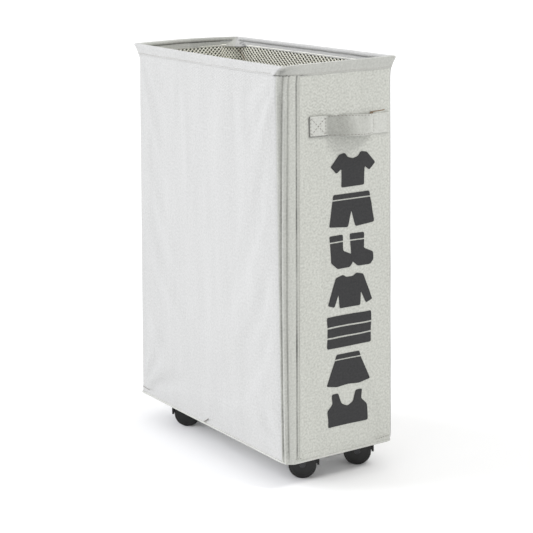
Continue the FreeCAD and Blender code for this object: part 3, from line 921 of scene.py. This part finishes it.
layBy(bottomCloth, lambda flat: (flat.x * bagWidth / 2, flat.y * bagLength / 2))
shapeBy(bottomCloth, bottomRule)
editPiece(bottomCloth, faceOut)
thicken(bottomCloth, bottomShape["thickness"])
finishPiece(bottomCloth, "bottomCloth", canvas, ["bottom_panel"])
print("strip, seams, piping and bottom cloth sewn on")

# netting collar
netShape = {"shortPitch": 0.0070, "longPitch": 0.0090, "tall": 0.0060, "thread": 0.0023, "inset": 0.0052,
            "rounding": 0.0330, "sway": 0.0022, "topLean": 0.0014, "lowLap": 0.003, "highLap": 0.0090}
tiny = 1e-6
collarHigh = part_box("mesh_collar")[1]
channelLow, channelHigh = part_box("collar_channel")
netPlaces = [0.0]
for side, run in enumerate(sideRuns):
    pitch = netShape["shortPitch"] if side in (0, 2) else netShape["longPitch"]
    netPlaces += evenPlaces(sideStarts[side], sideStarts[side] + run, pitch)[1:]
lowEnd, highEnd = channelHigh.z - netShape["lowLap"], rimTop - netShape["highLap"]
netting = layGrid("netting", netPlaces, evenPlaces(lowEnd, highEnd, netShape["tall"]))


def squareThread(ends):                             # the square grid's own threads, but not the outer edge
    level, upright = abs(ends[0].z - ends[1].z) < tiny, abs(ends[0].x - ends[1].x) < tiny
    rimEdge = level and (abs(ends[0].z - lowEnd) < tiny or abs(ends[0].z - highEnd) < tiny)
    endEdge = upright and (ends[0].x < tiny or ends[0].x > perimeter - tiny)
    return (level or upright) and not rimEdge and not endEdge


def netSway(flat):
    share = (flat.z - channelHigh.z) / (collarHigh.z - channelHigh.z)
    hang = math.sin(math.pi * min(1, max(0, share)))
    return netShape["sway"] * hang * (0.8 + noiseAt(flat.x * 11, flat.z * 8, 7.0))


editPiece(netting, lambda: bpy.ops.mesh.poke())     # square cells become diamonds
selectBy(netting, "EDGE", squareThread)
bpy.ops.mesh.dissolve_edges(use_verts=False)
bpy.ops.object.mode_set(mode="OBJECT")
for vertex in netting.data.vertices:
    lean = netShape["topLean"] * ease(vertex.co.z, rimTop - 0.020, rimTop - 0.011)
    vertex.co.y = netShape["inset"] + netSway(vertex.co) - lean
wrapRound(netting, flare=0.0, rounding=netShape["rounding"])
editPiece(netting, weld, faceOut)
applyModifier(netting, "WIREFRAME", thickness=netShape["thread"], use_replace=True, use_boundary=True,
              use_even_offset=False)
finishPiece(netting, "netting", netThread, ["mesh_collar"])
print("netting knotted:", len(netting.data.polygons), "faces")

channelShape = {"inset": 0.0054, "thick": 0.0013, "sides": 10, "flatWidth": 0.0130}
collarBand = layGrid("collarBand", columnPlaces(0.0045),
                     ringRows(-channelShape["inset"], (channelLow.z + channelHigh.z) / 2, channelShape["thick"],
                              (channelHigh.z - channelLow.z) / 2, channelShape["sides"]))
for vertex in collarBand.data.vertices:
    vertex.co.y += 0.0005 * noiseAt(vertex.co.x * 120, vertex.co.z * 40, 3.0)
    vertex.co.z += 0.0008 * noiseAt(vertex.co.x * 60, 2.0, 3.0)
wrapRound(collarBand, flare=0.0, rounding=netShape["rounding"])
editPiece(collarBand, weld, faceOut)
finishPiece(collarBand, "collarBand", hemCanvas, ["collar_channel"])

# strap handles
# seam gives the strength of the painted shadow along the left tab's edges
strapShape = {"thickness": 0.0013, "gap": 0.0003, "edgeFold": 0.0030, "edgeRise": 0.0005, "tab": 0.028,
              "column": 0.0018, "row": 0.0019, "lean": 0.0150, "sag": (0.0010, 0.0040), "bowCurl": 0.9,
              "seam": 1.3, "bevel": 0.0004, "bowExtra": 0.004, "strapShade": (0.64, 0.64, 0.63)}
handleLow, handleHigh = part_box("front_handle")
bowOut = wallLow.y - handleLow.y
strapStart, strapEnd = handleLow.x - wallLow.x, handleHigh.x - wallLow.x
strapLong = strapEnd - strapStart
rearStart = sideStarts[2] + strapStart


# how far the strap's face stands off the wall, along its length and up its width
def strapFace(share, height):
    tab = strapShape["tab"] / strapLong
    free = min(1.0, max(0.0, (share - tab) / (1 - 2 * tab)))
    skin = strapShape["gap"] + strapShape["thickness"]
    bow = math.sin(math.pi * free) ** strapShape["bowCurl"] * (bowOut - skin)
    leaning = ease(share, 0.20, 0.36) * (1 - ease(share, 0.58, 0.80))
    return skin + bow - strapShape["lean"] * leaning * (height - 0.30)


def strapSag(share):
    level, droop = strapShape["sag"]
    return level * math.sin(math.pi * share) + droop * ease(share, 0.35, 0.9)


# webbing with painted shade multiplied in along its free span, most on its left part
def strapMaterial():
    material = strapWebbing.copy()
    material.name = "shadedWebbing"
    colour = material.node_tree.nodes["Principled BSDF"].inputs["Base Color"]
    strapShade = material.node_tree.nodes.new("ShaderNodeAttribute")
    strapShade.attribute_name = "paintedStrapShade"
    mixed = blendColours(strapShade.outputs["Fac"], colour.links[0].from_socket, strapShape["strapShade"])
    mixed.node.blend_type = "MULTIPLY"
    feed(mixed, colour)
    return material


shadedWebbing = strapMaterial()


def sewStrap(name, start, node):
    end, low, high = start + strapLong, handleLow.z, handleHigh.z
    piece = layGrid(name, evenPlaces(start, end, strapShape["column"]), evenPlaces(low, high, strapShape["row"]))
    shadeMarks = newMark(piece)
    for vertex in piece.data.vertices:
        share = (vertex.co.x - start) / strapLong
        edge = min(vertex.co.z - low, high - vertex.co.z)
        fold = 1 - ease(edge, strapShape["edgeFold"] * 0.8, strapShape["edgeFold"])
        out = strapFace(share, (vertex.co.z - low) / (high - low)) + strapShape["edgeRise"] * fold
        vertex.co = Vector((vertex.co.x, -out, vertex.co.z - strapSag(share)))
        # painted shadow along the left tab's left and lower edges
        seam = share < 0.001 or share < 0.21 and vertex.co.z < low + 0.0003 - strapSag(share)
        shadeMarks[vertex.index].value = strapShape["seam"] if seam else 0.0
    wrapRound(piece, flare=0.0)
    editPiece(piece, faceOut)
    # painted shade over the free span: strongest on its left part, less on the right, none on the tabs
    strapShade = newMark(piece, "paintedStrapShade")
    lay = piece.data.uv_layers["lay"]
    for loop in piece.data.loops:
        share = (lay.data[loop.index].uv.x - start) / (end - start)
        strapShadeShare = ease(share, 0.19, 0.23) * (1 - 0.6 * ease(share, 0.36, 0.58)) * (1 - ease(share, 0.68, 0.80))
        strapShade[loop.vertex_index].value = strapShadeShare
    thicken(piece, strapShape["thickness"])
    applyModifier(piece, "BEVEL", width=strapShape["bevel"], segments=2, limit_method="ANGLE")
    finishPiece(piece, name, shadedWebbing, [node], angle=50)


sewStrap("frontStrap", strapStart, "front_handle")
sewStrap("rearStrap", rearStart, "rear_handle")
print("strap handles sewn on")

# stitches
stitchShape = {"length": 0.0026, "width": 0.0007, "pitch": 0.0042}


# a row of stitches in the flat pattern, from one (along, height) place to another; out may be a rule
def stitchRow(start, end, out, pitch=stitchShape["pitch"], length=stitchShape["length"],
              width=stitchShape["width"]):
    run = Vector((end[0] - start[0], end[1] - start[1]))
    count = max(1, int(run.length / pitch))
    bpy.ops.mesh.primitive_cube_add(size=1, location=(0, 0, 0))
    row = bpy.context.object
    row.scale = (length, width, width)
    bpy.ops.object.transform_apply(location=False, rotation=False, scale=True)
    editPiece(row, lambda: bpy.ops.mesh.bevel(offset=width * 0.3, segments=1, affect="EDGES"))
    applyModifier(row, "ARRAY", count=count, use_relative_offset=False, use_constant_offset=True,
                  constant_offset_displace=(run.length / count, 0, 0))
    angle = math.atan2(run.y, run.x)
    half = run.length / count / 2

    def rule(co):
        step = Vector((co.x + half, co.z))
        x = start[0] + step.x * math.cos(angle) - step.y * math.sin(angle)
        z = start[1] + step.x * math.sin(angle) + step.y * math.cos(angle)
        away = out(x, z) if callable(out) else out
        return Vector((x, co.y - away, z))

    shapeBy(row, rule)
    return row


def tack(edge, height, start, end, *look):          # a stitch row given from a corner and a height
    return stitchRow((edge + start[0], height + start[1]), (edge + end[0], height + end[1]), *look)


def sewRows(name, rows, material, **wrapping):
    joined = joinPieces(rows)
    wrapRound(joined, **wrapping)
    finishPiece(joined, name, material)


def sewStrapStitches(name, start):
    end, tab = start + strapLong, strapShape["tab"]
    low, high = handleLow.z + 0.0022, handleHigh.z - 0.0022

    def face(x, z):
        return strapFace((x - start) / strapLong, (z - handleLow.z) / (handleHigh.z - handleLow.z)) + 0.0001

    def lift(flat):
        return -strapSag((flat.x - start) / strapLong)

    def box(left, right):
        places = [(left, low), (right, low), (right, high), (left, high)]
        crossed = [(0, 2), (3, 1)] if left < start + tab else []
        return [stitchRow(places[i], places[j], face) for i, j in [(0, 1), (1, 2), (2, 3), (3, 0)] + crossed]

    rows = box(start + 0.0024, start + tab - 0.0020)
    rows += [stitchRow((start + tab, edge), (end - tab, edge), lambda x, z: face(x, z) + 0.0004, pitch=0.005)
             for edge in (handleLow.z + 0.0016, handleHigh.z - 0.0016)]
    farRows = box(end - tab + 0.0020, end - 0.0024)
    sewRows(name, rows, strapThread, flare=0.0, lift=lift)
    sewRows(name + "Far", farRows, paleThread, flare=0.0, lift=lift)


sewStrapStitches("frontStrapStitches", strapStart)
sewStrapStitches("rearStrapStitches", rearStart)
seamFoot, seamLean = stripShape["seamLine"]
sewRows("stripStitches", [stitchRow((seamFoot + 0.0042 + 0.0002, wallLow.z + 0.008),
                                    (seamFoot + seamLean + 0.0042, rimTop - 0.016), 0.0009)], sewingThread)
sideRows = {                                        # a row along each side: from its end, height, out and stitch
    "hemStitches": (0.004, rimTop - 0.0118, (0.0010, 0.0048)),
    "footStitches": (0.012, wallLow.z + 0.0125, (0.0001, 0.0052, 0.0030, 0.0005)),
}
for name, (inset, height, look) in sideRows.items():
    lift = (lambda flat: hemLift(Vector((flat.x, -0.001, flat.z)))) if name == "hemStitches" else None
    sewRows(name, [stitchRow((start + inset, height), (start + run - inset, height), *look)
                   for start, run in zip(sideStarts, sideRuns)], paleThread, lift=lift)
sewRows("footTacks", [
    tack(bagWidth, wallLow.z, (-0.030, 0.0085), (-0.006, 0.0105), 0.0004, 0.0036, 0.0022),
    tack(0.0, wallLow.z, (0.0110, 0.0085), (0.0220, 0.0075), 0.0022, 0.0030, 0.0020),
    tack(sideStarts[3], wallLow.z, (0.004, 0.0112), (0.026, 0.0100), 0.0006, 0.0024, 0.0022),
    tack(sideStarts[3], wallLow.z, (0.1870, 0.0040), (0.1990, 0.0115), 0.0012, 0.0018, 0.0021, 0.0012),
], strapThread)
sewRows("barTack", [stitchRow((0.1435, 0.5181), (0.1660, 0.5196), 0.0006, 0.0010, 0.0012, 0.0013),
                    stitchRow((0.1420, 0.5172), (0.1462, 0.5174), 0.0009, 0.0012, 0.0016, 0.0032)],
        barThread, flare=0.0)
# painted shadow: a dark thread line along the collar's fold at the back corner
sewRows("collarCornerShadowLine", [tack(sideStarts[2], rimTop, (-0.012, -0.0150), (-0.034, -0.0330), -0.0078, 0.0020,
                                  0.0021, 0.0011)], barThread, flare=0.0, rounding=netShape["rounding"])
print("stitches sewn")

# printed garments down the front
printShape = {"top": 0.4665, "pitch": 0.0563, "width": 0.074, "height": 0.047, "centreTop": 0.1135,
              "centreFoot": 0.1020, "off": 0.00045, "corner": 0.0022, "slice": 0.005, "start": -0.003}
garments = {                                        # outlines on a sheet 2 wide and 1.2 high
    "tee": [(-0.34, 0.60), (-0.22, 0.44), (0.0, 0.38), (0.22, 0.44), (0.34, 0.60), (0.60, 0.56), (1.0, 0.16),
            (0.74, -0.10), (0.52, 0.06), (0.52, -0.60), (-0.52, -0.60), (-0.52, 0.06), (-0.74, -0.10),
            (-1.0, 0.16), (-0.60, 0.56)],
    "shorts": [(-0.80, 0.60), (0.80, 0.60), (1.0, -0.52), (0.16, -0.60), (0.0, -0.02), (-0.16, -0.60),
               (-1.0, -0.52)],
    "jumper": [(-0.30, 0.60), (-0.16, 0.50), (0.16, 0.50), (0.30, 0.60), (0.62, 0.52), (1.0, -0.44),
               (0.70, -0.54), (0.50, -0.10), (0.46, -0.60), (-0.46, -0.60), (-0.50, -0.10), (-0.70, -0.54),
               (-1.0, -0.44), (-0.62, 0.52)],
    "towel": [(-1.0, 0.58), (1.0, 0.58), (1.0, -0.58), (-1.0, -0.58)],
    "skirt": [(-0.52, 0.60), (0.52, 0.60), (0.60, 0.34), (1.0, -0.50), (0.50, -0.60), (0.0, -0.56),
              (-0.50, -0.60), (-1.0, -0.50), (-0.60, 0.34)],
    "sock": [(-0.96, 0.60), (-0.34, 0.60), (-0.34, 0.02), (0.08, -0.16), (0.10, -0.44), (-0.04, -0.60),
             (-0.60, -0.60), (-0.90, -0.36)],
    "vest": [(-0.70, 0.60), (-0.40, 0.60), (-0.26, 0.20), (0.0, 0.08), (0.26, 0.20), (0.40, 0.60), (0.70, 0.60),
             (0.66, 0.24), (0.92, 0.0), (0.92, -0.60), (-0.92, -0.60), (-0.92, 0.0), (-0.66, 0.24)],
}
printOrder = [                                      # outline, shifts across, unprinted bands and their half width
    ("tee", [0.0], [], 0.0), ("shorts", [0.0], [0.40], 0.0009), ("sock", [0.0, 0.92], [0.36], 0.0009),
    ("jumper", [0.0], [], 0.0), ("towel", [0.0], [0.19, -0.19], 0.0011), ("skirt", [0.0], [0.40], 0.0009),
    ("vest", [0.0], [], 0.0)]


def cutOutline(outline, centre, height):
    bpy.ops.mesh.primitive_circle_add(vertices=len(outline), radius=1, fill_type="NGON", location=(0, 0, 0))
    piece = bpy.context.object
    for vertex, (x, z) in zip(piece.data.vertices, outline):
        vertex.co = Vector((centre + x * printShape["width"] / 2, 0.0, height + z * printShape["height"] / 1.2))
    editPiece(piece, lambda: bpy.ops.mesh.bevel(offset=printShape["corner"], segments=3, affect="VERTICES"))
    return piece


def cutBands(piece, heights, half):                 # the bands left unprinted
    edges = [edge for height in heights for edge in (height - half, height + half)]
    editPiece(piece, lambda: sliceAcross(2, edges))
    selectBy(piece, "FACE", lambda ring: any(abs((sum(ring, Vector()) / len(ring)).z - height) < half
                                             for height in heights))
    bpy.ops.mesh.delete(type="FACE")
    bpy.ops.object.mode_set(mode="OBJECT")


printed = []
for count, (name, shifts, bands, half) in enumerate(printOrder):
    share = count / (len(printOrder) - 1)
    height = printShape["top"] - printShape["height"] / 2 - count * printShape["pitch"]
    centre = between(printShape["centreTop"], printShape["centreFoot"], share)
    for shift in shifts:
        piece = cutOutline([(x + shift, z) for x, z in garments[name]], centre, height)
        if bands:
            cutBands(piece, [height + band * (printShape["height"] / 1.2) for band in bands], half)
        editPiece(piece,                            # small faces, so the film can follow the cloth
                  lambda: sliceAcross(0, [centre + step * printShape["slice"] for step in range(-8, 9)]),
                  lambda: sliceAcross(2, [height + step * printShape["slice"] for step in range(-5, 6)]))
        printed.append(piece)
printedGarments = joinPieces(printed)
for vertex in printedGarments.data.vertices:
    vertex.co.y = printShape["start"]
wrapRound(printedGarments)
applyModifier(printedGarments, "SHRINKWRAP", target=bagWalls, wrap_method="PROJECT", project_limit=0.02,
              use_project_x=False, use_project_y=True, use_project_z=False, use_negative_direction=True,
              use_positive_direction=True, offset=printShape["off"])
finishPiece(printedGarments, "printedGarments", printInk)
print("garments printed on the front")

# pole sleeves and base insert
sleeveShape = {"radius": 0.0039, "sides": 20, "hemShare": 30, "waver": 0.00012, "hem": 0.00006, "thickness": 0.0005}
for corner in corners:
    low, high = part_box("pole_sleeve_" + corner)
    centre = sum(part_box("corner_pole_" + corner), Vector()) / 2
    radius, tall = sleeveShape["radius"], high.z - low.z
    bpy.ops.mesh.primitive_cylinder_add(vertices=sleeveShape["sides"], radius=radius, depth=tall,
                                        end_fill_type="NOTHING", location=(centre.x, centre.y, (low.z + high.z) / 2))
    sleeve = bpy.context.object
    bpy.ops.object.transform_apply(location=True, rotation=False, scale=False)
    editPiece(sleeve, lambda: sliceAcross(2, [low.z + tall / sleeveShape["hemShare"]]))
    layBy(sleeve, lambda co: (math.atan2(co.y - centre.y, co.x - centre.x) * radius, co.z))
    for vertex in sleeve.data.vertices:
        way = Vector((vertex.co.x - centre.x, vertex.co.y - centre.y, 0)).normalized()
        hem = sleeveShape["hem"] * (1 - ease(min(vertex.co.z - low.z, high.z - vertex.co.z), 0.010, 0.016))
        vertex.co += way * (sleeveShape["waver"] * noise.noise(vertex.co * 60) - hem)
    thicken(sleeve, sleeveShape["thickness"])
    finishPiece(sleeve, "poleSleeve_" + corner, sleeveCloth, ["pole_sleeve_" + corner])

insertShape = {"round": 0.0078, "edge": 0.0014, "crown": 0.0007, "cuts": (12, 24)}
insertLow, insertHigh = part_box("base_insert")
insertMiddle = (insertLow + insertHigh) / 2
bpy.ops.mesh.primitive_cube_add(size=1, location=insertMiddle)
baseInsert = bpy.context.object
baseInsert.scale = insertHigh - insertLow
bpy.ops.object.transform_apply(location=True, rotation=False, scale=True)
selectBy(baseInsert, "EDGE", lambda ends: abs(ends[0].x - ends[1].x) < tiny and abs(ends[0].y - ends[1].y) < tiny)
bpy.ops.mesh.bevel(offset=insertShape["round"], segments=5, affect="EDGES")
bpy.ops.object.mode_set(mode="OBJECT")
applyModifier(baseInsert, "BEVEL", width=insertShape["edge"], segments=3, limit_method="ANGLE")
for axis in (1, 0):
    count = insertShape["cuts"][axis]
    editPiece(baseInsert, lambda: sliceAcross(axis, [between(insertLow[axis], insertHigh[axis], i / count)
                                                     for i in range(1, count)]))
layBy(baseInsert, lambda co: (co.x + co.z, co.y + co.z))
for vertex in baseInsert.data.vertices:
    if vertex.co.z > insertMiddle.z:
        edge = min(vertex.co.x - insertLow.x, insertHigh.x - vertex.co.x,
                   vertex.co.y - insertLow.y, insertHigh.y - vertex.co.y)
        swell = ease(edge, 0.002, 0.03) * (1 + 0.6 * noise.noise(vertex.co * 22))
        vertex.co.z += insertShape["crown"] * swell
finishPiece(baseInsert, "baseInsert", insertCloth, ["base_insert"])
print("sleeves and base insert in place")

# finishes on the solid parts
finishes = [
    (wheelPlastic, ["castor_wheel"]),
    (hoodPlastic, ["castor_hood"]),
    (zincSteel, ["castor_plate", "castor_kingpin", "castor_screws", "castor_nuts", "rim_hoop"]),
    (axleSteel, ["castor_axle"]),
    (washerNylon, ["castor_washer"]),
    (poleMetal, ["corner_pole"]),
    (capPlastic, ["pole_caps"]),
    (hardboard, ["base_board"]),
    (insertCloth, ["base_insert"]),
    (sleeveCloth, ["pole_sleeve"]),
    (netThread, ["mesh_collar"]),
    (hemCanvas, ["collar_channel", "rim_hem", "bottom_piping"]),
    (stripCanvas, ["closing_strip"]),
    (strapWebbing, ["front_handle", "rear_handle"]),
    (frontCanvas, ["front_panel", "rear_panel"]),
    (canvas, ["left_panel", "right_panel", "bottom_panel", "corner_welts"]),
]
for name, node in nodes.items():
    finish = next(material for material, starts in finishes if name.startswith(tuple(starts)))
    node.data.materials.clear()
    node.data.materials.append(finish)
print("finishes given to", len(nodes), "nodes")
